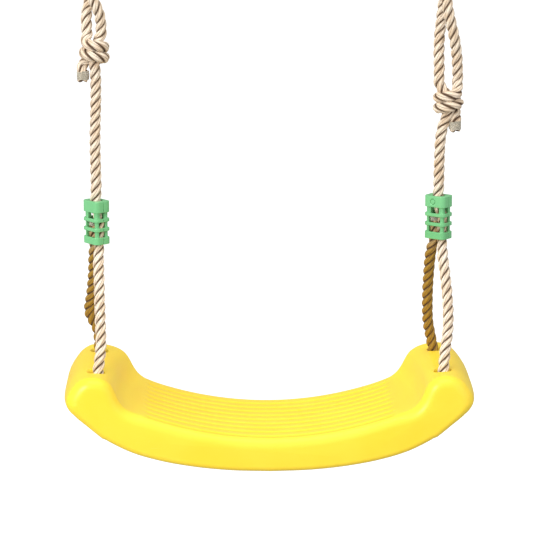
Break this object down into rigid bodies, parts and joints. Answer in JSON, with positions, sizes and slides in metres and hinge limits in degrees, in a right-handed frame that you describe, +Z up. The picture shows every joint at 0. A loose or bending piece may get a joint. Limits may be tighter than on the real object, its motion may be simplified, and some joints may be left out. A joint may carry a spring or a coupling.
{
  "type": "rope swing seat",
  "caption": "Child's swing with a hollow moulded seat, raised side lobes and ribbed top, on laid ropes with moulded clamps and steel rings.",
  "frame": {"origin": "the middle of the hook line, halfway between the points where the two steel rings bear on their hooks", "axes": "+Z up, +X to the right seen from the front, +Y towards the back; the seat hangs below the origin"},
  "size_m": [0.414, 0.164, 0.533],
  "materials": {
    "seat_plastic": "satin moulded polyethylene",
    "clamp_plastic": "satin moulded nylon",
    "steel": "galvanised",
    "rope": "three-strand laid fibre",
    "twine": "waxed whipping twine"
  },
  "bodies": {
    "rings": {"left_ring": "steel", "right_ring": "steel"},
    "ropes": {"left_rope_loop": "rope", "right_rope_loop": "rope", "left_rope_knot": "rope", "right_rope_knot": "rope", "left_rope_upper": "rope", "right_rope_upper": "rope", "left_tail_whipping": "twine", "right_tail_whipping": "twine"},
    "seat": {"seat_shell": "seat_plastic", "left_rope_cradle": "rope", "right_rope_cradle": "rope", "left_clamp_whipping": "twine", "right_clamp_whipping": "twine", "left_clamp_face": "clamp_plastic", "left_clamp_back": "clamp_plastic", "left_clamp_rivet": "clamp_plastic", "right_clamp_face": "clamp_plastic", "right_clamp_back": "clamp_plastic", "right_clamp_rivet": "clamp_plastic"}
  },
  "joints": [
    {"name": "swing", "type": "hinge", "parent": "rings", "child": "ropes", "pos_m": [0, 0, -0.048], "axis": [1, 0, 0], "range_deg": [-60, 60]},
    {"name": "seat_tilt", "type": "hinge", "parent": "ropes", "child": "seat", "pos_m": [0, 0, -0.252], "axis": [1, 0, 0], "range_deg": [-20, 20]}
  ]
}
